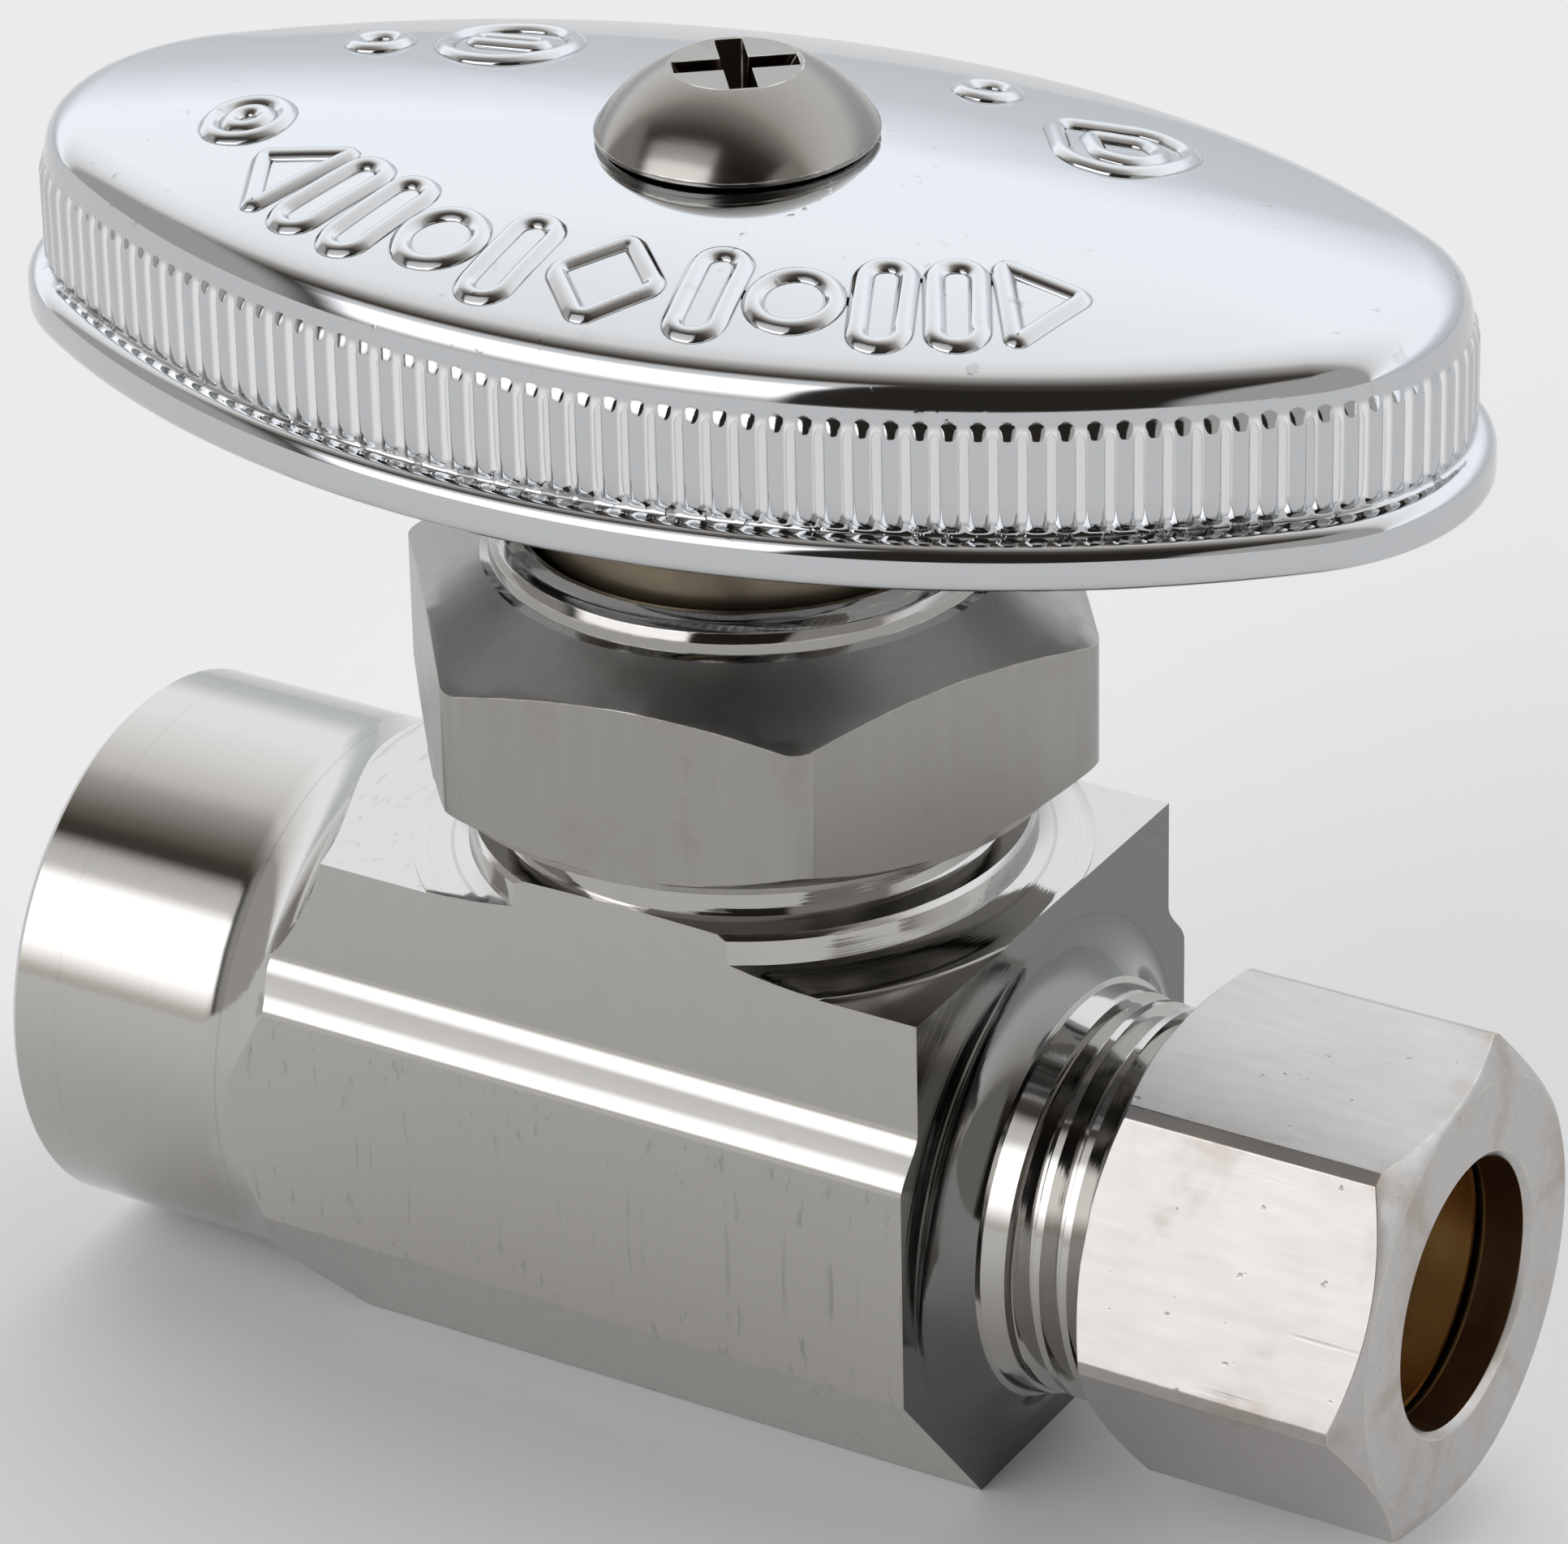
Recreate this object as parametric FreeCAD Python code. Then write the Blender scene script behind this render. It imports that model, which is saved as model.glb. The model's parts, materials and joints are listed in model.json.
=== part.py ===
import FreeCAD, Part
import math
import os

# Straight stop valve: soldered inlet socket, screw-down stem, compression outlet.
# Millimetres. The centre of the inlet mouth is the origin, water runs along +X, the stem points +Z.

# Layout along the water way
STEM_X = 25.9                 # inlet mouth to stem axis
BODY_END_X = 37.6             # flat face the outlet spigot stands on
OUTLET_END_X = 48.3           # end of the threaded spigot
NUT_REAR_X = 43.1
NUT_FRONT_X = 54.0

# Body bar and inlet barrel
BAR_TOP_Z = 10.64
BAR_BOTTOM_Z = -10.31
BAR_TOP_HALF = 9.05
BAR_HALF = 10.27
BARREL_R = 10.01
SOCKET_R = 7.98               # takes 5/8 in outside diameter copper tube
SOCKET_DEPTH = 12.7
FLARE_START_X = 8.4
FLARE_END_X = 13.9
WATERWAY_R = 2.9
INLET_DRILL_Z = -4.7

# Seat and bonnet boss
SEAT_Z = -1.5
SEAT_BORE_R = 3.0
SEAT_RING_R = 4.4
CHAMBER_R = 6.3
CHAMBER_FLOOR_Z = -2.5
COUNTERBORE_R = 7.55
COUNTERBORE_Z = 12.8
BOSS_R = 8.95
BOSS_TOP_Z = 17.6

# Bonnet nut
BONNET_AF = 22.6
BONNET_TURN = 8.0             # degrees the hexagon is turned from the water way
BONNET_BOTTOM_Z = 14.5
BONNET_SHOULDER_Z = 18.0
BONNET_TOP_Z = 23.5
BONNET_BORE_R = 7.45

# Stem, drawn with the valve open
LIFT = 4.233                  # three turns of an 18 threads per inch screw
STEM_SCREW_R = 7.4
STEM_SCREW_BOTTOM_Z = 17.4
STEM_SCREW_TOP_Z = 24.9
STEM_GUIDE_R = 6.2
STEM_CUP_R = 5.6
STEM_SQUARE = 6.0
STEM_TOP_Z = 34.0
ORING_Z = 10.2
ORING_WIRE_R = 0.85
ORING_GROOVE_R = 4.5

# Seat washer
WASHER_T = 2.4
WASHER_R = 4.9
WASHER_Z = SEAT_Z + LIFT + 0.02

# Handle: an oval made of four arcs
OVAL_A = 26.82
OVAL_B = 14.68
OVAL_END_R = 8.3
HANDLE_TURN = 5.4
RIM_Z = 28.45
RIM_TOP_Z = 30.08
BAND_Z = 30.42
BAND_TOP_Z = 34.15
EDGE_Z = 35.62
EDGE_INSET = 1.6
CROWN_Z = 37.6
BAND_INSET = 0.8
RIB_COUNT = 140
HUB_R = 5.9
HUB_Z = 25.0
SCREW_SEAT_R = 5.1

# Handle screw, no. 8 truss head
HEAD_R = 4.85
HEAD_H = 3.05                 # full height of the dome before its top is flattened
HEAD_FLAT_R = 2.3
SHANK_R = 2.05
SHANK_LENGTH = 12.7

# Outlet thread 9/16-24 and compression joint for 3/8 in tube
THREAD_R = 7.14
THREAD_PITCH = 25.4 / 24
THREAD_DEPTH = 0.62
THREAD_START_X = 39.75
NUT_AF = 15.875
NUT_TURN = 36.95              # degrees the hexagon's corner leans from +Z towards -Y
NUT_BORE_R = 7.2
TUBE_HOLE_R = 4.88
TUBE_SOCKET_R = 4.83
TUBE_STOP_X = 42.5
FERRULE_R = 6.0

X = FreeCAD.Vector(1, 0, 0)
Z = FreeCAD.Vector(0, 0, 1)
STEM_AXIS = FreeCAD.Vector(STEM_X, 0, 0)


def turned_x(points):
    """Solid turned about the water way from (x, radius) points."""
    wire = Part.makePolygon([FreeCAD.Vector(x, 0, r) for x, r in points + points[:1]])
    return Part.Face(wire).revolve(FreeCAD.Vector(), X, 360)


def turned_z(points):
    """Solid turned about the stem axis from (radius, z) points."""
    wire = Part.makePolygon([FreeCAD.Vector(STEM_X + r, 0, z) for r, z in points + points[:1]])
    return Part.Face(wire).revolve(STEM_AXIS, Z, 360)


def rod_x(radius, x0, x1, z=0.0):
    return Part.makeCylinder(radius, x1 - x0, FreeCAD.Vector(x0, 0, z), X)


def rod_z(radius, z0, z1):
    return Part.makeCylinder(radius, z1 - z0, FreeCAD.Vector(STEM_X, 0, z0), Z)


def hexagon(across_flats, height):
    """Upright hexagonal bar at the origin with a corner on +X, and its six upright edges."""
    corner = across_flats / math.sqrt(3)
    points = [FreeCAD.Vector(corner * math.cos(math.radians(60 * k)),
                             corner * math.sin(math.radians(60 * k)), 0) for k in range(7)]
    bar = Part.Face(Part.makePolygon(points)).extrude(Z * height)
    return bar, [e for e in bar.Edges if abs(e.tangentAt(e.FirstParameter).z) > 0.9]


def bar_profile():
    """Cross-section of the body: flat top, a soft step on each side, bevelled bottom."""
    def side(s):
        top = FreeCAD.Vector(0, s * BAR_TOP_HALF, 6.48)
        foot = FreeCAD.Vector(0, s * BAR_HALF, 4.465)
        step = Part.BezierCurve()
        step.setPoles([top, top - Z * 0.7, foot + Z * 0.7, foot])
        shoulder = FreeCAD.Vector(0, s * BAR_TOP_HALF, BAR_TOP_Z)
        bevel = FreeCAD.Vector(0, s * BAR_HALF, -3.9)
        bottom = FreeCAD.Vector(0, s * 4.9, BAR_BOTTOM_Z)
        edges = [Part.makeLine(shoulder, top), step.toShape(), Part.makeLine(foot, bevel),
                 Part.makeLine(bevel, bottom)]
        return edges, shoulder, bottom
    near, near_top, near_bottom = side(-1)
    far, far_top, far_bottom = side(1)
    caps = [Part.makeLine(near_top, far_top), Part.makeLine(near_bottom, far_bottom)]
    return Part.Wire(Part.__sortEdges__(near + far + caps))


def bar_with_barrel():
    """The bar turned down to a round barrel on the inlet side, joined by a flare."""
    bar = Part.Face(bar_profile()).extrude(X * BODY_END_X)
    arc = Part.Arc(FreeCAD.Vector(FLARE_START_X, 0, BARREL_R), FreeCAD.Vector(11.9, 0, 11.55),
                   FreeCAD.Vector(FLARE_END_X, 0, 15.2)).toShape()
    corners = [(FLARE_END_X, 15.2), (BODY_END_X, 15.2), (BODY_END_X, 0), (0, 0),
               (0, BARREL_R - 0.35), (0.35, BARREL_R), (FLARE_START_X, BARREL_R)]
    points = [FreeCAD.Vector(x, 0, r) for x, r in corners]
    edges = [arc] + [Part.makeLine(a, b) for a, b in zip(points, points[1:])]
    turning = Part.Face(Part.Wire(edges)).revolve(FreeCAD.Vector(), X, 360)
    return bar.common(turning)


def bonnet_boss():
    """Round boss with two turned steps spreading onto the flats."""
    foot = [(8.95 + 3.05 * (1 - math.cos(a)), 12.2 - 1.5 * math.sin(a))
            for a in (math.radians(d) for d in (50, 60, 70, 80, 90))]
    profile = [(0, 6), (0, BOSS_TOP_Z), (BOSS_R - 0.4, BOSS_TOP_Z), (BOSS_R, BOSS_TOP_Z - 0.4),
               (BOSS_R, 12.35), (BOSS_R + 0.15, 12.2), (9.85, 12.15), (10.0, 11.95)] + foot
    profile += [(12.0, 10.5), (12.0, 6)]
    slab = Part.makeBox(BODY_END_X, 2 * BAR_TOP_HALF, 20, FreeCAD.Vector(0, -BAR_TOP_HALF, 5))
    return turned_z(profile).common(slab)


def threaded_rod():
    """Plain rod with the outlet's helical groove cut along it."""
    length = OUTLET_END_X - THREAD_START_X + THREAD_PITCH
    helix = Part.makeHelix(THREAD_PITCH, length, THREAD_R)
    root = THREAD_R - THREAD_DEPTH
    crest = THREAD_R + 0.1
    half = THREAD_PITCH * 0.42
    vee = [FreeCAD.Vector(root, 0, -0.05), FreeCAD.Vector(crest, 0, -half),
           FreeCAD.Vector(crest, 0, half), FreeCAD.Vector(root, 0, 0.05)]
    sweep = Part.BRepOffsetAPI.MakePipeShell(Part.Wire(helix.Edges))
    sweep.setFrenetMode(True)
    sweep.add(Part.makePolygon(vee + vee[:1]))
    sweep.build()
    sweep.makeSolid()
    rod = Part.makeCylinder(THREAD_R, length + 4, FreeCAD.Vector(0, 0, -2), Z).cut(sweep.shape())
    rod.rotate(FreeCAD.Vector(), FreeCAD.Vector(0, 1, 0), 90)
    rod.translate(X * THREAD_START_X)
    return rod


def outlet_spigot():
    """Collar, relief and threaded spigot on the outlet side."""
    collar = turned_x([(BODY_END_X - 2, 0), (BODY_END_X - 2, 9.5), (BODY_END_X, 9.5),
                       (BODY_END_X + 0.12, 9.05), (BODY_END_X + 0.35, 8.55), (BODY_END_X + 0.7, 8.1),
                       (BODY_END_X + 1.1, 7.75), (BODY_END_X + 1.35, 7.6), (BODY_END_X + 1.45, 7.42),
                       (THREAD_START_X + 0.15, 7.25), (THREAD_START_X + 0.3, 6.6), (THREAD_START_X + 0.3, 0)])
    envelope = turned_x([(THREAD_START_X, 0), (THREAD_START_X, 6.4), (THREAD_START_X + 0.45, 7.3),
                         (OUTLET_END_X - 0.8, 7.3), (OUTLET_END_X, 6.45), (OUTLET_END_X, 0)])
    return collar.fuse(threaded_rod().common(envelope))


def water_passages():
    """Everything drilled out of the body."""
    socket = rod_x(SOCKET_R, -1, SOCKET_DEPTH)
    drill = rod_x(WATERWAY_R, SOCKET_DEPTH - 1, STEM_X + 2.5, INLET_DRILL_Z)
    orifice = rod_z(SEAT_BORE_R, INLET_DRILL_Z, SEAT_Z + 1)
    chamber = turned_z([(SEAT_RING_R, CHAMBER_FLOOR_Z), (CHAMBER_R, CHAMBER_FLOOR_Z),
                        (CHAMBER_R, COUNTERBORE_Z), (COUNTERBORE_R, COUNTERBORE_Z + 0.6),
                        (COUNTERBORE_R, BOSS_TOP_Z + 1), (0, BOSS_TOP_Z + 1), (0, SEAT_Z),
                        (SEAT_RING_R - 0.5, SEAT_Z)])
    outlet = rod_x(WATERWAY_R, STEM_X + 5.2, TUBE_STOP_X + 1)
    tube = turned_x([(TUBE_STOP_X, 0), (TUBE_STOP_X, TUBE_SOCKET_R), (46.5, TUBE_SOCKET_R),
                     (OUTLET_END_X, 6.05), (OUTLET_END_X + 1, 6.05), (OUTLET_END_X + 1, 0)])
    return [socket, drill, orifice, chamber, outlet, tube]


def valve_body():
    outside = bar_with_barrel().fuse([bonnet_boss(), outlet_spigot()])
    return outside.cut(water_passages()).removeSplitter()


def bonnet_nut():
    """Hexagon nut with a coned top, a rounded collar and a washer face underneath."""
    bar, corners = hexagon(BONNET_AF, 12)
    bar = bar.makeFillet(1.2, corners)
    bar.rotate(FreeCAD.Vector(), Z, BONNET_TURN)
    bar.translate(FreeCAD.Vector(STEM_X, 0, 13))
    collar = [(8.95, 22.35), (8.93, 22.75), (8.78, 23.08), (8.5, 23.34), (8.1, BONNET_TOP_Z)]
    envelope = turned_z([(0, BONNET_BOTTOM_Z), (11.35, BONNET_BOTTOM_Z), (11.35, 14.75), (13.2, 16.1),
                         (13.2, 20.4), (11.33, 21.1), (9.25, 22.22)] + collar + [(0, BONNET_TOP_Z)])
    hole = turned_z([(0, 13), (9.4, 13), (9.4, BONNET_BOTTOM_Z), (9.0, BONNET_BOTTOM_Z + 0.4),
                     (9.0, BONNET_SHOULDER_Z), (BONNET_BORE_R, BONNET_SHOULDER_Z),
                     (BONNET_BORE_R, BONNET_TOP_Z - 0.45), (7.9, BONNET_TOP_Z), (7.9, 25), (0, 25)])
    return bar.common(envelope).cut(hole)


def bonnet_gasket():
    return rod_z(8.8, 17.62, 17.98).cut(rod_z(7.65, 17, 19))


def stem():
    """Screwed stem: washer cup at the foot, seal groove, screw, square end for the handle."""
    cup = WASHER_Z + WASHER_T
    groove = ORING_WIRE_R + 0.1
    shaft = turned_z([(0, cup - 1.1), (5.05, cup - 1.1), (STEM_CUP_R, cup - 0.8), (STEM_CUP_R, 7.0),
                      (4.3, 7.6), (4.3, 8.3), (STEM_GUIDE_R - 0.3, 8.3), (STEM_GUIDE_R, 8.6),
                      (STEM_GUIDE_R, ORING_Z - groove), (ORING_GROOVE_R, ORING_Z - groove),
                      (ORING_GROOVE_R, ORING_Z + groove), (STEM_GUIDE_R, ORING_Z + groove),
                      (STEM_GUIDE_R, 12.4), (5.6, 12.8), (5.6, STEM_SCREW_BOTTOM_Z - 0.3),
                      (6.9, STEM_SCREW_BOTTOM_Z), (STEM_SCREW_R, STEM_SCREW_BOTTOM_Z + 0.5),
                      (STEM_SCREW_R, STEM_SCREW_TOP_Z - 0.3), (STEM_SCREW_R - 0.3, STEM_SCREW_TOP_Z),
                      (0, STEM_SCREW_TOP_Z)])
    half = STEM_SQUARE / 2
    end = Part.makeBox(STEM_SQUARE, STEM_SQUARE, STEM_TOP_Z - STEM_SCREW_TOP_Z + 1,
                       FreeCAD.Vector(-half, -half, STEM_SCREW_TOP_Z - 1))
    end.rotate(FreeCAD.Vector(), Z, HANDLE_TURN)
    end.translate(STEM_AXIS)
    pocket = rod_z(WASHER_R + 0.1, cup - 2, cup)
    foot_tap = rod_z(1.3, cup - 1, cup + 5.5)
    top_tap = rod_z(SHANK_R + 0.03, CROWN_Z - SHANK_LENGTH - 1, STEM_TOP_Z + 1)
    return shaft.fuse(end).cut([pocket, foot_tap, top_tap])


def stem_oring():
    """Seal ring, a little clear of the chamber wall it wipes."""
    ring = Part.makeTorus(ORING_GROOVE_R + ORING_WIRE_R + 0.02, ORING_WIRE_R)
    ring.translate(FreeCAD.Vector(STEM_X, 0, ORING_Z))
    return ring


def seat_washer():
    soft = turned_z([(1.55, WASHER_Z), (WASHER_R - 0.25, WASHER_Z), (WASHER_R, WASHER_Z + 0.25),
                     (WASHER_R, WASHER_Z + WASHER_T - 0.02), (1.55, WASHER_Z + WASHER_T - 0.02)])
    return soft


def cross_recess(length, width, depth):
    """Tapered cross slot, its mouth at height 0."""
    arms = []
    for turn in (0, 90):
        mouth = Part.makePolygon([FreeCAD.Vector(sx * length / 2, sy * width / 2, 0.01)
                                  for sx, sy in ((-1, -1), (1, -1), (1, 1), (-1, 1), (-1, -1))])
        floor = Part.makePolygon([FreeCAD.Vector(sx * length / 4, sy * width / 3, -depth)
                                  for sx, sy in ((-1, -1), (1, -1), (1, 1), (-1, 1), (-1, -1))])
        arm = Part.makeLoft([mouth, floor], True, True)
        arm.rotate(FreeCAD.Vector(), Z, turn)
        arms.append(arm)
    return arms[0].fuse(arms[1])


def seat_washer_screw():
    """Small pan-head screw that lets the seat washer turn freely."""
    under = WASHER_Z - 0.03
    solid = turned_z([(0, under - 0.95), (1.9, under - 0.95), (2.35, under - 0.6), (2.35, under),
                      (1.28, under), (1.28, under + 7.2), (1.0, under + 7.5), (0, under + 7.5)])
    slot = Part.makeBox(6, 0.7, 0.55, FreeCAD.Vector(STEM_X - 3, -0.35, under - 1.0))
    return solid.cut(slot)


def oval(inset, z, scale=1.0):
    """Closed wire of four tangent arcs, drawn inset from the handle's widest outline."""
    a = (OVAL_A - inset) * scale
    b = (OVAL_B - inset) * scale
    r = (OVAL_END_R - inset) * scale
    side = ((a - r) ** 2 + b ** 2 - r ** 2) / (2 * (b - r))
    reach = a - r
    drop = side - b
    away = math.hypot(reach, drop)
    tx = reach + r * reach / away
    ty = r * drop / away
    def at(x, y):
        return FreeCAD.Vector(x, y, z)
    arcs = [Part.Arc(at(tx, -ty), at(a, 0), at(tx, ty)), Part.Arc(at(tx, ty), at(0, b), at(-tx, ty)),
            Part.Arc(at(-tx, ty), at(-a, 0), at(-tx, -ty)),
            Part.Arc(at(-tx, -ty), at(0, -b), at(tx, -ty))]
    return Part.Wire([arc.toShape() for arc in arcs])


def oval_layer(sections, ruled=True):
    return Part.makeLoft([oval(inset, z) for inset, z in sections], True, ruled)


def rib_grooves():
    """Round-bottomed upright grooves spaced evenly along the band."""
    outline = oval(BAND_INSET, 0)
    grooves = []
    for point in outline.discretize(Number=RIB_COUNT + 1)[:-1]:
        tool = Part.makeCylinder(0.3, BAND_TOP_Z - BAND_Z, FreeCAD.Vector(point.x, point.y, BAND_Z), Z)
        grooves.append(tool)
    return grooves


def handle():
    """Hollow oval cap with a rounded rim, a ribbed band, a low crown and a hub."""
    rim = oval_layer([(0.75, RIM_Z), (0.3, RIM_Z + 0.13), (0.04, RIM_Z + 0.45), (0.0, RIM_Z + 0.75),
                      (0.06, RIM_Z + 1.05), (0.22, RIM_Z + 1.37), (0.5, RIM_TOP_Z - 0.05),
                      (0.9, RIM_TOP_Z + 0.1), (0.9, BAND_Z)])
    band = oval_layer([(0.9, BAND_Z), (BAND_INSET, BAND_Z + 0.05), (BAND_INSET, BAND_TOP_Z),
                       (0.87, BAND_TOP_Z + 0.45), (1.05, EDGE_Z - 0.62), (1.27, EDGE_Z - 0.25),
                       (EDGE_INSET, EDGE_Z)])
    levels = [(s, EDGE_Z + (CROWN_Z - EDGE_Z) * (1 - s ** 2.2)) for s in (1, 0.93, 0.8, 0.6, 0.4, 0.21)]
    crown = Part.makeLoft([oval(EDGE_INSET, z, s) for s, z in levels], True, False)
    hollow = oval_layer([(2.7, RIM_Z - 0.1), (2.7, BAND_TOP_Z - 0.9), (4.2, BAND_TOP_Z + 0.2)])
    hub = Part.makeCylinder(HUB_R, BAND_TOP_Z - HUB_Z + 0.5, FreeCAD.Vector(0, 0, HUB_Z), Z)
    half = STEM_SQUARE / 2 + 0.05
    broach = Part.makeBox(2 * half, 2 * half, STEM_TOP_Z - HUB_Z + 1.2, FreeCAD.Vector(-half, -half, HUB_Z - 1))
    screw_hole = Part.makeCylinder(SHANK_R + 0.25, 10, FreeCAD.Vector(0, 0, 32), Z)
    seat = Part.makeCylinder(SCREW_SEAT_R, 3, FreeCAD.Vector(0, 0, CROWN_Z - 0.15), Z)
    shell = rim.fuse([band, crown]).cut(hollow).fuse(hub)
    solid = shell.cut([broach, screw_hole, seat] + rib_grooves())
    solid.rotate(FreeCAD.Vector(), Z, HANDLE_TURN)
    solid.translate(STEM_AXIS)
    return solid.removeSplitter()


def handle_screw():
    """Truss-head machine screw with a cross recess."""
    base = CROWN_Z - 0.13
    rise = HEAD_H - 0.3
    ball = (HEAD_R ** 2 + rise ** 2) / (2 * rise)
    dome = [(r, base + HEAD_H - ball + math.sqrt(ball ** 2 - r ** 2))
            for r in (HEAD_R - (HEAD_R - HEAD_FLAT_R) * k / 8 for k in range(9))]
    tip = base - SHANK_LENGTH
    solid = turned_z([(0, tip), (SHANK_R - 0.4, tip), (SHANK_R, tip + 0.5), (SHANK_R, base),
                      (HEAD_R - 0.2, base), (HEAD_R, base + 0.15)] + dome + [(0, dome[-1][1])])
    recess = cross_recess(4.3, 0.95, 1.7)
    recess.rotate(FreeCAD.Vector(), Z, 38)
    recess.translate(FreeCAD.Vector(STEM_X, 0, dome[-1][1]))
    return solid.cut(recess)


def compression_nut():
    """Hexagon nut, chamfered at both ends, coned inside to squeeze the ferrule."""
    bar, corners = hexagon(NUT_AF, NUT_FRONT_X - NUT_REAR_X)
    bar = bar.makeChamfer(0.3, corners)
    bar.rotate(FreeCAD.Vector(), FreeCAD.Vector(0, 1, 0), 90)
    bar.rotate(FreeCAD.Vector(), X, NUT_TURN)
    bar.translate(X * NUT_REAR_X)
    envelope = turned_x([(NUT_REAR_X, 0), (NUT_REAR_X, 8.0), (NUT_REAR_X + 0.75, 9.3),
                         (NUT_FRONT_X - 1.0, 9.3), (NUT_FRONT_X, 7.75), (NUT_FRONT_X, 0)])
    hole = turned_x([(NUT_REAR_X - 1, 0), (NUT_REAR_X - 1, 7.6), (NUT_REAR_X, 7.6),
                     (NUT_REAR_X + 0.4, NUT_BORE_R), (50.8, NUT_BORE_R), (50.8, 6.3),
                     (52.3, TUBE_HOLE_R), (NUT_FRONT_X - 0.25, TUBE_HOLE_R), (NUT_FRONT_X, 5.13),
                     (NUT_FRONT_X + 1, 5.13), (NUT_FRONT_X + 1, 0)])
    return bar.common(envelope).cut(hole)


def compression_ferrule():
    """Brass sleeve coned at both ends."""
    return turned_x([(48.45, 4.82), (48.45, 5.1), (49.5, FERRULE_R - 0.08), (49.6, FERRULE_R),
                     (50.75, FERRULE_R), (51.85, 5.05), (51.85, 4.82)])


PARTS = {
    "valve_body": valve_body,
    "bonnet_nut": bonnet_nut,
    "bonnet_gasket": bonnet_gasket,
    "stem": stem,
    "stem_oring": stem_oring,
    "seat_washer": seat_washer,
    "seat_washer_screw": seat_washer_screw,
    "handle": handle,
    "handle_screw": handle_screw,
    "compression_nut": compression_nut,
    "compression_ferrule": compression_ferrule,
}

os.makedirs("parts", exist_ok=True)
for name, build in PARTS.items():
    shape = build()
    shape.exportStep("parts/" + name + ".step")
    box = shape.BoundBox
    print(name, "valid", shape.isValid(), "solids", len(shape.Solids), "volume", round(shape.Volume, 1),
          [round(v, 2) for v in (box.XMin, box.XMax, box.YMin, box.YMax, box.ZMin, box.ZMax)])
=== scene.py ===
import json
import math

import bmesh
import bpy
from bpy.props import FloatProperty, FloatVectorProperty, IntProperty, PointerProperty
from mathutils import Matrix, Vector
from mathutils.bvhtree import BVHTree


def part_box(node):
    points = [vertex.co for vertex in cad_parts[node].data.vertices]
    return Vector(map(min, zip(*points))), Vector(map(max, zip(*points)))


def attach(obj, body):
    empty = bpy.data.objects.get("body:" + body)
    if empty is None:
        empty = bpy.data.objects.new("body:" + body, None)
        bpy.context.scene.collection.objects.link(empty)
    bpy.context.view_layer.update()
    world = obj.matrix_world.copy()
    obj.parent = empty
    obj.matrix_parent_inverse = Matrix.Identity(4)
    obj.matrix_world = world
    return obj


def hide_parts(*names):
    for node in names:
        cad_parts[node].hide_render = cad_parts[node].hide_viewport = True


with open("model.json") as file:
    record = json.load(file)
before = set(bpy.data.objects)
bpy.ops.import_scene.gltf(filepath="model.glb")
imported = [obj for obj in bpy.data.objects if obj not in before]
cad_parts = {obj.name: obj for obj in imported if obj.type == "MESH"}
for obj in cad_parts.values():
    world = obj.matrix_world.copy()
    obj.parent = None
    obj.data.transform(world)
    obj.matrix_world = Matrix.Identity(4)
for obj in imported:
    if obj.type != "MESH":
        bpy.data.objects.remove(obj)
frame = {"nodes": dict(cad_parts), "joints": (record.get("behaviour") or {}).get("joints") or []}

bl_info = {
    "name": "Straight Stop Valve",
    "version": (1, 0, 0),
    "blender": (4, 5, 0),
    "location": "3D View > Sidebar > Stop Valve",
    "description": "Builds the visible pieces of a straight stop valve with an oval handle",
    "category": "Object",
}

MM = 0.001
JOINTS = {joint["name"]: joint for joint in frame["joints"]}
STEM = Vector(JOINTS["stem_turn"]["pos_m"]) * Vector((1, 0, 0))
HANDLE_LOW, HANDLE_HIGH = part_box("handle")
BODY_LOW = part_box("valve_body")[0]
SCREW_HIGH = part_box("handle_screw")[1]

RIM_LOW = HANDLE_LOW.z + 3.45 * MM  # foot of the handle's rim; its hub reaches lower
TURNED_END = 13.8 * MM  # the body is turned up to here, barrel and flare, from the inlet on
FLATS_END = 37.6 * MM  # the body's flats stop here, and the outlet's neck starts
FLATS_TOP = 10.66 * MM  # just over the body's top flat, where the boss stands on it
BOSS_TOP = 17.2 * MM  # above this the boss is hidden in the bonnet nut
BOSS_FOOT = 12.2 * MM  # the boss's flared foot ends within this distance of the stem's axis
INSIDE = 8.3 * MM  # the body's bores lie within this distance of the water way's axis
NUT_TURN = math.radians(36.95)  # how far the outlet nut's corner leans from straight up
STEP_TOP, STEP_FOOT = (9.05, 6.48), (10.27, 4.465)  # the body's side step: out and up, in millimetres
STEP_PULL = 2.1  # three times how far its curve's control points stand off its ends


class HandleSizes(bpy.types.PropertyGroup):
    """Sizes of the oval handle and its screw."""

    long_half: FloatProperty(name="Long half", description="Half the oval's length at the rim",
                             default=26.78 * MM, unit="LENGTH")
    short_half: FloatProperty(name="Short half", description="Half the oval's width at the rim",
                              default=14.68 * MM, unit="LENGTH")
    end_radius: FloatProperty(name="End radius", description="Radius of the oval's two ends",
                              default=8.3 * MM, unit="LENGTH")
    turn: FloatProperty(name="Turn", description="Angle between the oval's long side and the water way",
                        default=math.radians(5.4), subtype="ANGLE")
    end_ribs: IntProperty(name="End ribs", description="Ribs on each end arc of the band", default=15)
    side_ribs: IntProperty(name="Side ribs", description="Ribs on each side arc of the band", default=53)
    rib_depth: FloatProperty(name="Rib depth", description="How far the band's ribs stand out",
                             default=0.3 * MM, unit="LENGTH")
    relief_height: FloatProperty(name="Relief height", description="Height of the raised lines on the crown",
                                 default=0.27 * MM, unit="LENGTH")


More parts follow.
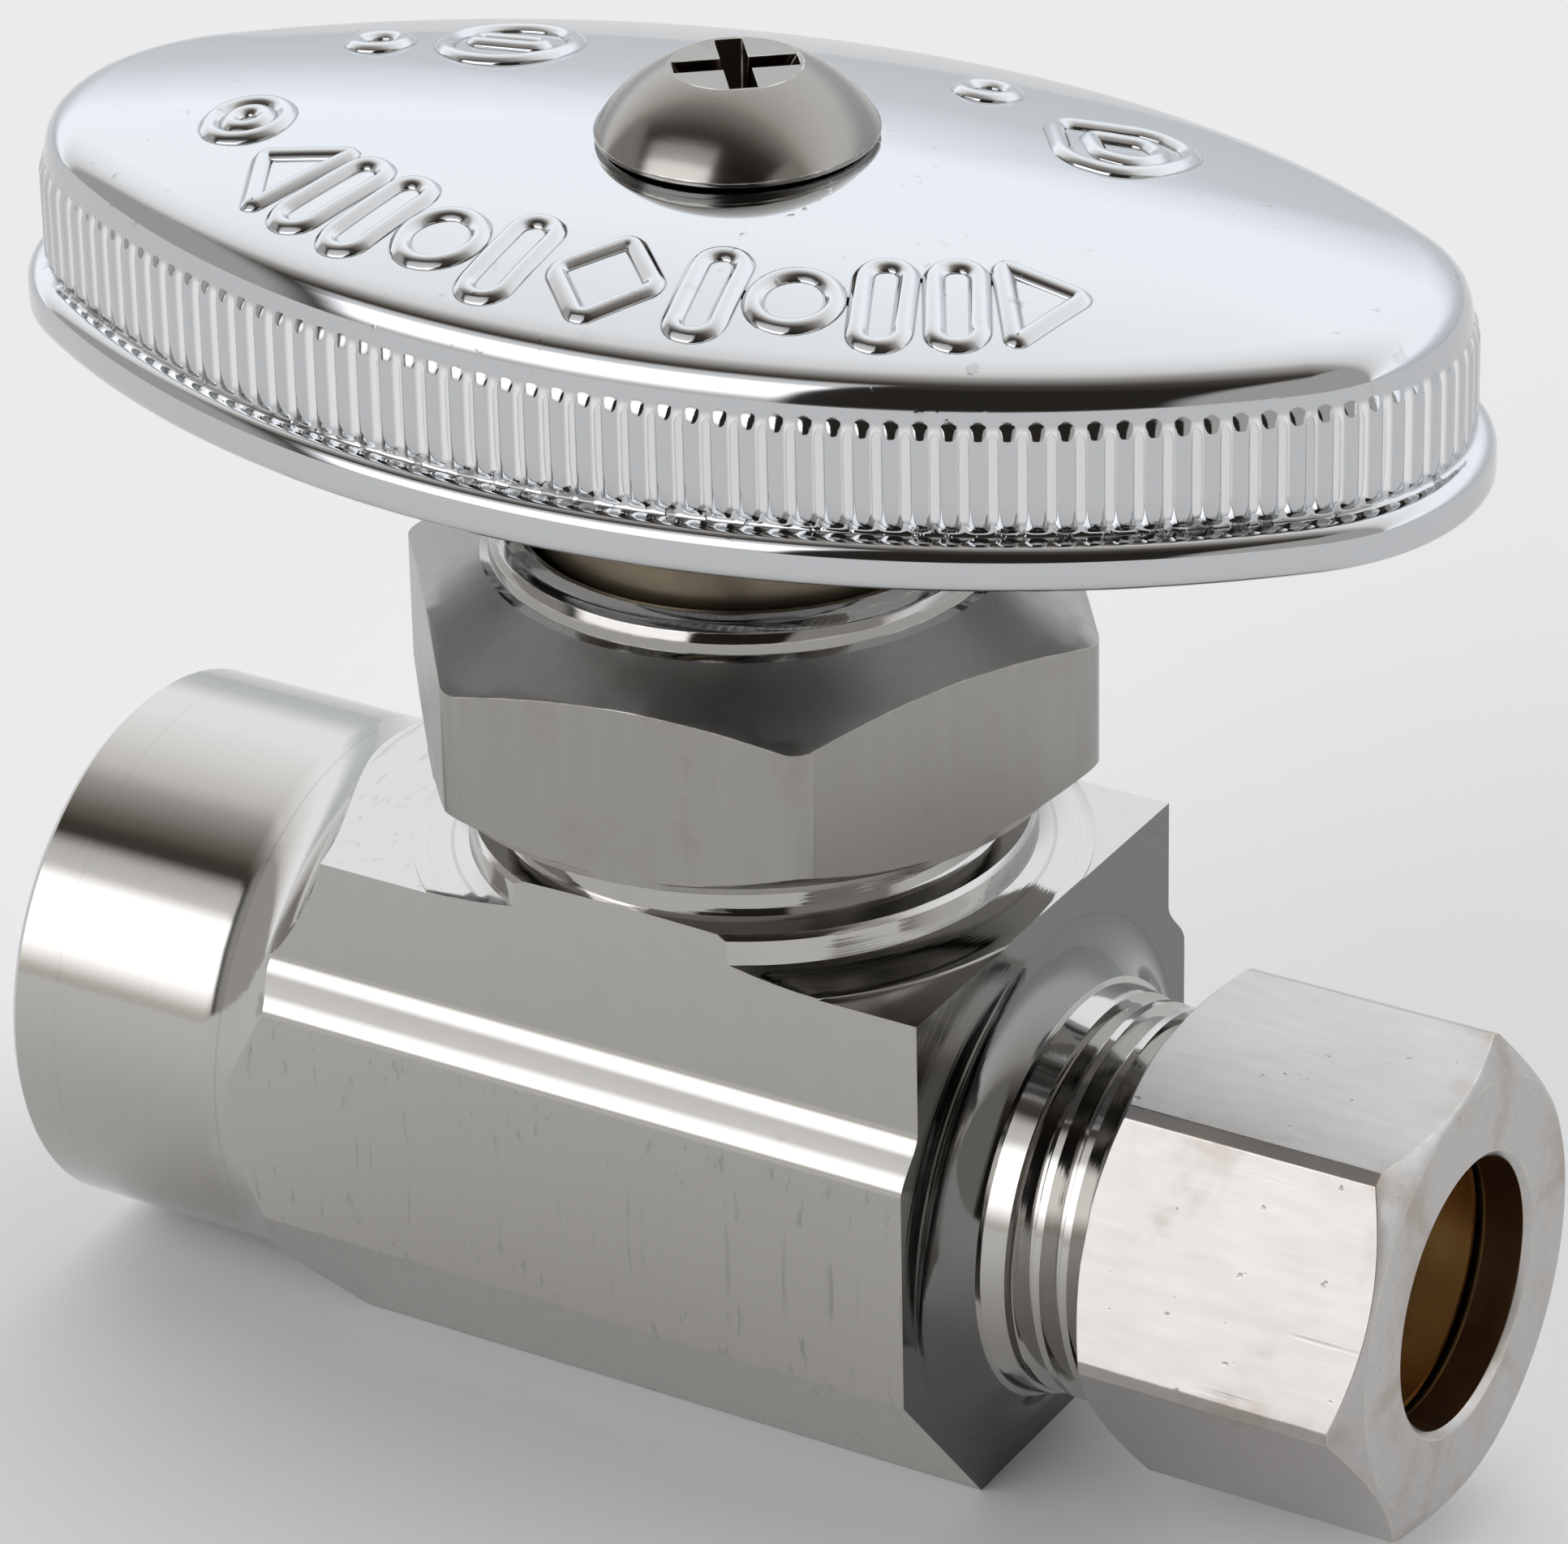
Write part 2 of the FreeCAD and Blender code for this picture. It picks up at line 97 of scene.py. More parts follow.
class PlatingColours(bpy.types.PropertyGroup):
    """Colours of the plated, turned and moulded pieces."""

    handle: FloatVectorProperty(name="Handle chrome", description="Bright plating of the handle",
                                default=(0.56, 0.573, 0.583), subtype="COLOR", size=3)
    body: FloatVectorProperty(name="Body chrome", description="Plating of the valve body",
                              default=(0.50, 0.488, 0.466), subtype="COLOR", size=3)
    bonnet: FloatVectorProperty(name="Bonnet nut", description="Satin plating of the bonnet nut",
                                default=(0.37, 0.358, 0.342), subtype="COLOR", size=3)
    nickel: FloatVectorProperty(name="Outlet nut", description="Satin nickel of the outlet nut",
                                default=(0.54, 0.523, 0.508), subtype="COLOR", size=3)
    screw: FloatVectorProperty(name="Screw", description="Dull nickel of the handle screw",
                               default=(0.30, 0.283, 0.262), subtype="COLOR", size=3)
    brass: FloatVectorProperty(name="Brass", description="Bare turned brass", default=(0.60, 0.345, 0.115),
                               subtype="COLOR", size=3)
    aged_brass: FloatVectorProperty(name="Aged brass", description="Darkened brass of the stem",
                                    default=(0.24, 0.20, 0.145), subtype="COLOR", size=3)
    stain: FloatVectorProperty(name="Stain", description="Brown bloom in worn plating",
                               default=(0.36, 0.275, 0.20), subtype="COLOR", size=3)
    rubber: FloatVectorProperty(name="Rubber", description="Seal ring and seat washer",
                                default=(0.025, 0.025, 0.027), subtype="COLOR", size=3)
    floor: FloatVectorProperty(name="Floor", description="Colour of the studio floor",
                               default=(0.93, 0.93, 0.93), subtype="COLOR", size=3)


class Studio(bpy.types.PropertyGroup):
    """Camera and light."""

    lens: FloatProperty(name="Lens", description="Focal length of the camera in millimetres", default=178.4)
    place: FloatVectorProperty(name="Camera place", description="Where the camera stands",
                               default=(0.15092, -0.20535, 0.14119), subtype="TRANSLATION", size=3)
    azimuth: FloatProperty(name="Azimuth", description="Camera's turn round the object",
                           default=math.radians(31.074), subtype="ANGLE")
    elevation: FloatProperty(name="Elevation", description="Camera's height above the horizon",
                             default=math.radians(28.041), subtype="ANGLE")
    roll: FloatProperty(name="Roll", description="Camera's lean", default=math.radians(-1.264),
                        subtype="ANGLE")
    strength: FloatProperty(name="Surroundings", description="Brightness of the studio's surroundings",
                            default=1.0)


# Finishes


class Value:
    """An output socket that can be used in sums; each operation adds a Math node."""

    def __init__(self, finish, socket):
        self.finish = finish
        self.socket = socket

    def math(self, operation, first, second=0.0):
        return self.finish.add("ShaderNodeMath", {"operation": operation}, {0: first, 1: second}).out(0)

    def __add__(self, other):
        return self.math("ADD", self, other)

    def __radd__(self, other):
        return self.math("ADD", other, self)

    def __mul__(self, other):
        return self.math("MULTIPLY", self, other)

    def __rmul__(self, other):
        return self.math("MULTIPLY", other, self)

    def __truediv__(self, other):
        return self.math("DIVIDE", self, other)

    def __pow__(self, other):
        return self.math("POWER", self, other)

    def angle_from(self, other):
        return self.math("ARCTAN2", self, other)

    def folded(self, width):
        """Rises from 0 to width and falls back to 0, over and over."""
        return self.math("PINGPONG", self, width)


class Placed:
    """A node that has been set up, with its outputs by number or name."""

    def __init__(self, finish, node):
        self.finish = finish
        self.node = node

    def out(self, name=0):
        return Value(self.finish, self.node.outputs[name])


class Finish:
    """A node tree being filled, for a material or for the surroundings."""

    def __init__(self, owner):
        owner.use_nodes = True
        self.owner = owner
        self.tree = owner.node_tree
        self.tree.nodes.clear()

    def add(self, kind, settings=None, inputs=None):
        """Places one node: its settings first, then what its sockets hold or are fed by."""
        node = self.tree.nodes.new(kind)
        for key, value in (settings or {}).items():
            if key == "stops":
                ramp = node.color_ramp
                while len(ramp.elements) > 1:
                    ramp.elements.remove(ramp.elements[-1])
                ramp.elements[0].position = value[0][0]
                ramp.elements[0].color = (*value[0][1], 1)
                for position, colour in value[1:]:
                    ramp.elements.new(position).color = (*colour, 1)
            else:
                setattr(node, key, value)
        for key, value in (inputs or {}).items():
            socket = node.inputs[key]
            if isinstance(value, Value):
                self.tree.links.new(value.socket, socket)
            elif socket.type == "RGBA":
                socket.default_value = (*value, 1)
            else:
                socket.default_value = value
        return Placed(self, node)

    def place(self, scale=(1, 1, 1), offset=(0, 0, 0), turn=(0, 0, 0)):
        """Object coordinates, centred, turned and stretched."""
        here = self.add("ShaderNodeTexCoord").out("Object")
        return self.add("ShaderNodeMapping", {}, {"Vector": here, "Location": offset, "Rotation": turn,
                                                 "Scale": scale}).out()

    def noise(self, where, scale, detail=3.0, rough=0.55):
        """Grey noise from 0 to 1."""
        return self.add("ShaderNodeTexNoise", {}, {"Vector": where, "Scale": scale, "Detail": detail,
                                                   "Roughness": rough}).out("Fac")

    def between(self, value, low, high):
        """0 below low, 1 above high, smooth between."""
        return self.add("ShaderNodeMapRange", {"interpolation_type": "SMOOTHSTEP"},
                        {"Value": value, "From Min": low, "From Max": high}).out()

    def mix(self, amount, first, second):
        """Mixed colour."""
        return self.add("ShaderNodeMix", {"data_type": "RGBA"}, {0: amount, 6: first, 7: second}).out(2)

    def tint(self, colour, amount):
        """A colour brightened or darkened by a grey amount."""
        return self.add("ShaderNodeVectorMath", {"operation": "SCALE"}, {0: colour, "Scale": amount}).out()

    def grey(self, amount):
        """The same amount in all three colours."""
        return self.add("ShaderNodeCombineXYZ", {}, {0: amount, 1: amount, 2: amount}).out()

    def bump(self, height, distance, strength=1.0, normal=None):
        """A normal bent by a height, on top of another bent normal if one is given."""
        inputs = {"Height": height, "Distance": distance, "Strength": strength}
        if normal is not None:
            inputs["Normal"] = normal
        return self.add("ShaderNodeBump", {}, inputs).out()

    def scratches(self, turn, density, amount):
        """Sparse straight hairlines: long thin cells of noise, cut high."""
        along = self.place((35, 2600, 2600), turn=turn)
        gate = self.noise(self.place((260, 260, 260), offset=(density, 0, 0)), 1.0, 2.0)
        return self.between(self.noise(along, 1.0, 1.0), 0.70, 0.78) * self.between(gate, 0.5, 0.7) * amount

    def surface(self, inputs):
        """Ends a material with the shader that takes these inputs."""
        shader = self.add("ShaderNodeBsdfPrincipled", {}, inputs).out()
        self.add("ShaderNodeOutputMaterial", {}, {"Surface": shader})


def colours():
    return bpy.context.scene.valve_colours


def darker(colour, share):
    return [share * c for c in colour]


def rings_about(finish, axis, centre, fineness):
    """Turning marks: noise that changes along an axis and with the distance from it."""
    here = finish.add("ShaderNodeTexCoord").out("Object")
    local = finish.add("ShaderNodeVectorMath", {"operation": "SUBTRACT"}, {0: here, 1: centre}).out()
    parts = finish.add("ShaderNodeSeparateXYZ", {}, {0: local})
    names = [n for n in "XYZ" if n != axis]
    away = (parts.out(names[0]) ** 2 + parts.out(names[1]) ** 2) ** 0.5
    grooves = finish.add("ShaderNodeCombineXYZ", {}, {0: parts.out(axis) * fineness, 1: away * fineness}).out()
    return finish.noise(grooves, 1.0, 4.0, 0.6)


def edge_wear(finish):
    """1 along the softened edges, broken up by noise."""
    near = finish.add("ShaderNodeAttribute", {"attribute_name": "edge"}).out("Fac")
    return near * finish.between(finish.noise(finish.place((900, 900, 900)), 1.0, 3.0), 0.42, 0.62)


def handle_chrome():
    """Mirror plating over die casting: ripple, specks, hairlines, painted highlights along the band's grooves,
    flaws at the band's foot.
    """
    finish = Finish(bpy.data.materials.new("handle_chrome"))
    ripple = finish.noise(finish.place((140, 140, 140)), 1.0, 2.0)
    specks = finish.between(finish.noise(finish.place((1500, 1500, 1500)), 1.0, 2.0), 0.66, 0.74)
    patch = finish.between(finish.noise(finish.place((90, 90, 90), offset=(3.1, 0, 0)), 1.0, 2.0), 0.55, 0.7)
    pits = specks * patch
    hair = finish.scratches((0, 0, 0.6), 2.0, 1.0)
    here = finish.add("ShaderNodeTexCoord").out("Object")
    level = finish.add("ShaderNodeSeparateXYZ", {}, {0: here}).out("Z")

    def belt(low, full, fade, high):
        """1 in a belt round the handle, faded at both sides; heights in millimetres over the rim's foot."""
        return (finish.between(level, RIM_LOW + low * MM, RIM_LOW + full * MM)
                * finish.between(level, RIM_LOW + high * MM, RIM_LOW + fade * MM))

    patchy = finish.noise(finish.place((70, 70, 0), offset=(0.9, 0, 0)), 1.0, 1.0)
    worst = finish.between(patchy, 0.50, 0.64) * 0.11
    chips = finish.noise(finish.place((1500, 1500, 1100)), 1.0, 3.0)
    flaws = belt(1.55, 1.7, 1.9, 2.2) * finish.between(chips + worst, 0.56, 0.66)
    ribs = finish.add("ShaderNodeAttribute", {"attribute_name": "along"}).out("Fac")
    # painted highlight: a near-white line in each groove between the ribs, standing in for the bright
    # reflection there
    groove_painted_highlight = finish.between(ribs.folded(0.5), 0.24, 0.13) * belt(1.95, 2.2, 5.3, 5.6)
    cloud = finish.noise(finish.place((60, 60, 60)), 1.0, 3.0)
    rough = 0.04 + 0.04 * cloud + 0.16 * pits + 0.12 * hair + 0.2 * flaws
    height = finish.bump(ripple, 0.02 * MM, 0.5)
    height = finish.bump(pits + hair * 0.5 + flaws * -2, 0.012 * MM, 0.6, height)
    colour = finish.mix(pits * 0.5, colours().handle, darker(colours().handle, 0.6))
    # mixes in the painted highlight of the grooves
    colour = finish.mix(groove_painted_highlight * 0.85, colour, (0.93, 0.93, 0.93))
    colour = finish.mix(flaws * 0.65, colour, (0.12, 0.115, 0.105))
    finish.surface({"Base Color": colour, "Metallic": 1.0, "Roughness": rough, "Normal": height})
    return finish.owner


def milled_chrome():
    """Body flats: plating over drawn bar, with faint lines along the bar, shallow dents and worn edges."""
    finish = Finish(bpy.data.materials.new("milled_chrome"))
    drawn = finish.noise(finish.place((25, 1500, 1500)), 1.0, 3.0)
    cloud = finish.noise(finish.place((60, 110, 110)), 1.0, 2.0)
    dents = finish.between(finish.noise(finish.place((420, 420, 420)), 1.0, 2.0), 0.68, 0.8)
    hair = finish.scratches((0, 0.35, 0), 5.0, 0.6)
    wear = edge_wear(finish)
    grain = finish.noise(finish.place((1300, 1300, 1300)), 1.0, 2.0)
    rough = 0.06 + 0.04 * cloud + 0.03 * drawn + 0.15 * hair + 0.06 * wear
    height = finish.bump(dents * -0.5 + hair * -0.1, 0.012 * MM, 0.5)
    colour = finish.mix(cloud * 0.3 + grain * 0.3, colours().body, darker(colours().body, 0.84))
    colour = finish.mix(wear * 0.5, colour, (0.85, 0.80, 0.70))
    finish.surface({"Base Color": colour, "Metallic": 1.0, "Roughness": rough, "Normal": height})
    return finish.owner


def turned_chrome(name, axis, centre, depth, plating):
    """Turned surfaces: plating over fine circular tool marks, with painted shade in the marks' grooves."""
    finish = Finish(bpy.data.materials.new(name))
    marks = rings_about(finish, axis, centre, 2600)
    cloud = finish.noise(finish.place((70, 70, 70)), 1.0, 2.0)
    wear = edge_wear(finish)
    hair = finish.scratches((0.4, 0, 0.2), 7.0, 1.0)
    rough = 0.035 + 0.03 * cloud + 0.05 * marks + 0.12 * hair + 0.1 * wear
    height = finish.bump(marks, depth, 0.7)
    height = finish.bump(hair * -0.4 + wear * 0.5, 0.01 * MM, 0.6, height)
    colour = finish.mix(cloud * 0.3, plating, darker(plating, 0.88))
    # painted shade: darker colour in the low parts of the tool marks
    colour = finish.mix(finish.between(marks, 0.42, 0.30) * 0.4, colour, darker(plating, 0.45))
    colour = finish.mix(wear * 0.3, colour, (0.80, 0.76, 0.66))
    finish.surface({"Base Color": colour, "Metallic": 1.0, "Roughness": rough, "Normal": height})
    return finish.owner


def satin_bonnet():
    """Bonnet nut: satin plating with short upright grain, smudges and a little bloom."""
    finish = Finish(bpy.data.materials.new("satin_bonnet"))
    grain = finish.noise(finish.place((1900, 1900, 90)), 1.0, 3.0)
    cloud = finish.noise(finish.place((150, 150, 150)), 1.0, 4.0)
    blots = finish.noise(finish.place((330, 330, 260), offset=(0, 4, 0)), 1.0, 5.0, 0.7)
    smudge = finish.between(blots, 0.52, 0.72)
    wear = edge_wear(finish)
    rough = 0.20 + 0.10 * cloud + 0.10 * grain + 0.1 * wear
    height = finish.bump(grain, 0.006 * MM, 0.7)
    height = finish.bump(cloud, 0.04 * MM, 0.25, height)
    colour = finish.mix(grain * 0.5, colours().bonnet, darker(colours().bonnet, 0.76))
    colour = finish.mix(smudge * 0.28, colour, (0.25, 0.215, 0.17))
    colour = finish.mix(wear * 0.5, colour, (0.66, 0.60, 0.48))
    finish.surface({"Base Color": colour, "Metallic": 1.0, "Roughness": rough, "Normal": height})
    return finish.owner


def near_corner(finish):
    """1 at the outlet nut's six corners and its front rim, fading over the flats."""
    here = finish.add("ShaderNodeTexCoord").out("Object")
    parts = finish.add("ShaderNodeSeparateXYZ", {}, {0: here})
    sixth = math.radians(60)
    turn = parts.out("Y").angle_from(parts.out("Z")) / sixth + NUT_TURN / sixth
    return finish.between(turn.folded(0.5), 0.12, 0.0) + finish.between(parts.out("X"), 52.6 * MM, 53.4 * MM)


def stained_nickel():
    """Outlet nut: satin nickel, brown bloom along the edges and in patches, fine scratches."""
    finish = Finish(bpy.data.materials.new("stained_nickel"))
    grain = finish.noise(finish.place((60, 1700, 1700)), 1.0, 3.0)
    cloud = finish.noise(finish.place((170, 170, 170), offset=(1.7, 0, 0)), 1.0, 5.0, 0.65)
    bloom = finish.between(cloud + near_corner(finish) * 0.09, 0.56, 0.80)
    specks = finish.between(finish.noise(finish.place((1700, 1700, 1700)), 1.0, 2.0), 0.71, 0.78)
    hair = finish.scratches((0, 0.2, 0.5), 3.0, 1.0) + finish.scratches((0.9, -0.4, 0), 6.0, 0.8)
    fine = finish.noise(finish.place((500, 2300, 2300)), 1.0, 3.0)
    wear = edge_wear(finish)
    rough = 0.21 + 0.12 * cloud + 0.06 * grain + 0.1 * bloom + 0.1 * hair
    height = finish.bump(grain, 0.006 * MM, 0.6)
    height = finish.bump(specks * -1 + hair * -0.6, 0.02 * MM, 0.6, height)
    colour = finish.mix(fine * 0.8, colours().nickel, darker(colours().nickel, 0.76))
    colour = finish.mix(bloom * 0.5, colour, colours().stain)
    colour = finish.mix(specks * 0.35, colour, (0.22, 0.16, 0.11))
    colour = finish.mix(wear * 0.35, colour, (0.72, 0.66, 0.56))
    finish.surface({"Base Color": colour, "Metallic": 1.0, "Roughness": rough, "Normal": height})
    return finish.owner


def dull_screw(name, plating):
    """Handle screw: rolled nickel, smooth but dull, with soft wear round the recess."""
    finish = Finish(bpy.data.materials.new(name))
    marks = rings_about(finish, "Z", STEM, 1500)
    cloud = finish.noise(finish.place((350, 350, 350)), 1.0, 3.0)
    wear = edge_wear(finish)
    rough = 0.10 + 0.08 * cloud + 0.05 * marks
    height = finish.bump(marks, 0.004 * MM, 0.6)
    height = finish.bump(cloud, 0.03 * MM, 0.3, height)
    colour = finish.mix(cloud * 0.4, plating, darker(plating, 0.8))
    colour = finish.mix(wear * 0.7, colour, (0.66, 0.64, 0.60))
    finish.surface({"Base Color": colour, "Metallic": 1.0, "Roughness": rough, "Normal": height})
    return finish.owner


def turned_brass(name, axis, centre, colour):
    """Bare turned brass with tool marks and darker bloom."""
    finish = Finish(bpy.data.materials.new(name))
    marks = rings_about(finish, axis, centre, 2200)
    cloud = finish.noise(finish.place((260, 260, 260)), 1.0, 3.0)
    rough = 0.24 + 0.14 * cloud + 0.12 * marks
    dull = finish.mix(finish.between(cloud, 0.45, 0.75) * 0.7, colour, darker(colour, 0.45))
    finish.surface({"Base Color": dull, "Metallic": 1.0, "Roughness": rough,
                    "Normal": finish.bump(marks, 0.008 * MM, 0.8)})
    return finish.owner


def moulded_rubber():
    """Seal ring and seat washer: dull, finely grained rubber."""
    finish = Finish(bpy.data.materials.new("moulded_rubber"))
    grain = finish.noise(finish.place((900, 900, 900)), 1.0, 3.0)
    colour = finish.mix(grain, colours().rubber, (0.05, 0.05, 0.05))
    finish.surface({"Base Color": colour, "Roughness": 0.5 + 0.2 * grain,
                    "Normal": finish.bump(grain, 0.02 * MM, 0.5)})
    return finish.owner


def pressed_fibre():
    """Bonnet gasket: reddish pressed fibre."""
    finish = Finish(bpy.data.materials.new("pressed_fibre"))
    grain = finish.noise(finish.place((700, 700, 1800)), 1.0, 5.0, 0.7)
    colour = finish.mix(grain, (0.22, 0.07, 0.04), (0.42, 0.20, 0.12))
    finish.surface({"Base Color": colour, "Roughness": 0.75 + 0.15 * grain,
                    "Normal": finish.bump(grain, 0.03 * MM, 0.6)})
    return finish.owner


# Meshes


def piece_from(bm, name, materials, body, node):
    """Makes a visible piece from a bmesh, rides it on its body and lets it stand for a CAD node."""
    mesh = bpy.data.meshes.new(name)
    bm.to_mesh(mesh)
    bm.free()
    for material in materials:
        mesh.materials.append(material)
    piece = bpy.data.objects.new(name, mesh)
    bpy.context.scene.collection.objects.link(piece)
    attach(piece, body)
    if node:
        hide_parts(node)
    return piece


def off_step(spot):
    """How far a point lies from the curve that rounds the body's side step, seen along the bar."""
    (top_out, top), (foot_out, foot) = STEP_TOP, STEP_FOOT
    out, level = abs(spot.y) / MM, spot.z / MM
    low, high = 0.0, 1.0
    for _ in range(30):
        t = (low + high) / 2
        z = (top - STEP_PULL * t * (1 - t) ** 2 + (foot - top) * t * t * (3 - 2 * t)
             + STEP_PULL * t * t * (1 - t))
        low, high = (t, high) if z > level else (low, t)
    return abs(out - (top_out + (foot_out - top_out) * t * t * (3 - 2 * t))) * MM


def lengthwise(edge):
    """True if an edge runs along the bar."""
    return abs((edge.verts[0].co - edge.verts[1].co).normalized().x) > 0.99999


def lay_front_step_again(bm):
    """Replaces the slivers of the front's rounded step by strips that run straight along the bar."""
    middle = 30 * MM
    step = [f for f in bm.faces if abs(f.normal.x) < 0.7
            and all(-v.co.y > 9 * MM and 4.46 * MM < v.co.z < 6.485 * MM and off_step(v.co) < 0.008 * MM
                    for v in f.verts)]
    bmesh.ops.delete(bm, geom=step, context="FACES")
    rim = [e for e in bm.edges if len(e.link_faces) == 1]
    rail = {v for e in rim for v in e.verts
            if len(v.link_edges) == 2 and all(lengthwise(x) for x in v.link_edges)}
    bmesh.ops.dissolve_verts(bm, verts=list(rail))
    ends = {v for e in bm.edges if len(e.link_faces) == 1 and not lengthwise(e) for v in e.verts}
    near = sorted((v for v in ends if v.co.x < middle), key=lambda v: v.co.z)
    far = sorted((v for v in ends if v.co.x > middle), key=lambda v: v.co.z)
    while len(near) > 1 or len(far) > 1:
        row = near if len(far) == 1 or (len(near) > 1 and near[1].co.z < far[1].co.z) else far
        bmesh.ops.contextual_create(bm, geom=[near[0], far[0], row[1]])
        row.pop(0)


def softened_copy(node, width, sharp, keep_out=None, mend=None):
    """A merged copy of a CAD node with its sharp edges rounded, and marks where the rounding is.

    Edges for which keep_out(edge) is true stay sharp; mend(bm) repairs the merged mesh first.
    """
    bm = bmesh.new()
    bm.from_mesh(frame["nodes"][node].data)
    bmesh.ops.remove_doubles(bm, verts=bm.verts, dist=0.0005 * MM)
    bmesh.ops.dissolve_limit(bm, angle_limit=math.radians(0.05), verts=bm.verts, edges=bm.edges,
                             use_dissolve_boundaries=False, delimit={"NORMAL"})
    if mend:
        mend(bm)
    edge = bm.faces.layers.float.new("edge")
    crisp = [e for e in bm.edges if len(e.link_faces) == 2 and e.calc_face_angle() > sharp
             and not (keep_out and keep_out(e))]
    done = bmesh.ops.bevel(bm, geom=crisp, offset=width, offset_type="OFFSET", segments=2, profile=0.5,
                           affect="EDGES", material=-1, clamp_overlap=True, loop_slide=True)
    for face in done["faces"]:
        face[edge] = 1.0
    bmesh.ops.recalc_face_normals(bm, faces=bm.faces)
    for face in bm.faces:
        face.smooth = True
    for e in bm.edges:
        e.smooth = len(e.link_faces) < 2 or e.calc_face_angle() < math.radians(28)
    return bm


def even_shading(piece):
    """Keeps broad faces flat where they meet small rounded edges."""
    shade = piece.modifiers.new("Even shading", "WEIGHTED_NORMAL")
    shade.keep_sharp = True
    shade.weight = 80


def paint_faces(piece, choose):
    """Gives each face the material slot that choose(centre, normal) returns."""
    for face in piece.data.polygons:
        face.material_index = choose(face.center, face.normal)


def grow(bm, edges, place):
    """Extrudes a ring of edges and puts each new vertex where place(vertex) says."""
    made = bmesh.ops.extrude_edge_only(bm, edges=edges)["geom"]
    for item in made:
        if isinstance(item, bmesh.types.BMVert):
            item.co = place(item)
    return [item for item in made if isinstance(item, bmesh.types.BMEdge)
            and all(v in set(made) for v in item.verts)]


# Handle


def oval_ring(bm, sizes):
    """The handle's widest outline as a ring of edges; each vertex remembers its place on it."""
    a, b, r = sizes.long_half, sizes.short_half, sizes.end_radius
    side = ((a - r) ** 2 + b ** 2 - r ** 2) / (2 * (b - r))
    lean = math.atan2(side - b, a - r)
    home = bm.verts.layers.float_vector.new("home")
    out = bm.verts.layers.float_vector.new("out")
    along = bm.verts.layers.float.new("along")
    quarters = ((Vector((a - r, 0, 0)), r, -lean, 2 * lean, sizes.end_ribs),
                (Vector((0, b - side, 0)), side, lean, math.pi - 2 * lean, sizes.side_ribs),
                (Vector((r - a, 0, 0)), r, math.pi - lean, 2 * lean, sizes.end_ribs),
                (Vector((0, side - b, 0)), side, math.pi + lean, math.pi - 2 * lean, sizes.side_ribs))
    for centre, radius, start, sweep, ribs in quarters:
        first = bm.verts.new(centre + radius * Vector((math.cos(start), math.sin(start), 0)))
        before = set(bm.verts)
        bmesh.ops.spin(bm, geom=[first], cent=centre, axis=(0, 0, 1), angle=sweep, steps=8 * ribs,
                       use_merge=False)
        arc = [first] + [v for v in bm.verts if v not in before]
        for count, vert in enumerate(arc):
            vert[home] = vert.co
            vert[out] = (vert.co - centre).normalized()
            vert[along] = count / 8
    bmesh.ops.remove_doubles(bm, verts=bm.verts, dist=0.001 * MM)
    return list(bm.edges), home, out, along


def handle_profile():
    """Rings of the handle from the rim's foot over the outside: (inset, height, rib share), in metres."""
    rows = [(0.30, 0, 0), (0.12, 0.06, 0), (0.02, 0.2, 0), (0, 0.4, 0), (0.01, 0.98, 0)]
    shoulder = 0.62
    for k in range(1, 8):
        angle = math.radians(12 * k)
        rows.append((0.01 + shoulder * (1 - math.cos(angle)), 0.98 + shoulder * math.sin(angle), 0))
    rows += [(0.66, 1.61, 0), (0.76, 1.65, 0), (0.83, 1.74, 0), (0.84, 1.86, 0.1), (0.83, 1.97, 0.6)]
    rows += [(0.82, 2.08, 1.0), (0.82, 3.0, 1.0), (0.825, 4.2, 1.0), (0.83, 5.0, 1.0), (0.835, 5.14, 0.9),
             (0.84, 5.28, 0.68), (0.85, 5.42, 0.42), (0.86, 5.55, 0.18), (0.87, 5.66, 0), (0.90, 5.95, 0),
             (0.96, 6.22, 0), (1.05, 6.45, 0), (1.17, 6.65, 0), (1.33, 6.83, 0), (1.53, 6.98, 0),
             (1.78, 7.10, 0), (2.1, 7.22, 0)]
    return [(inset * MM, RIM_LOW + height * MM, share) for inset, height, share in rows]


def crown_height(share, top, edge):
    """Height of the crown where the outline has shrunk to a share of its size."""
    return min(top, edge + (top - edge) * (1 - share ** 2.2) / (1 - 0.2 ** 2.2))


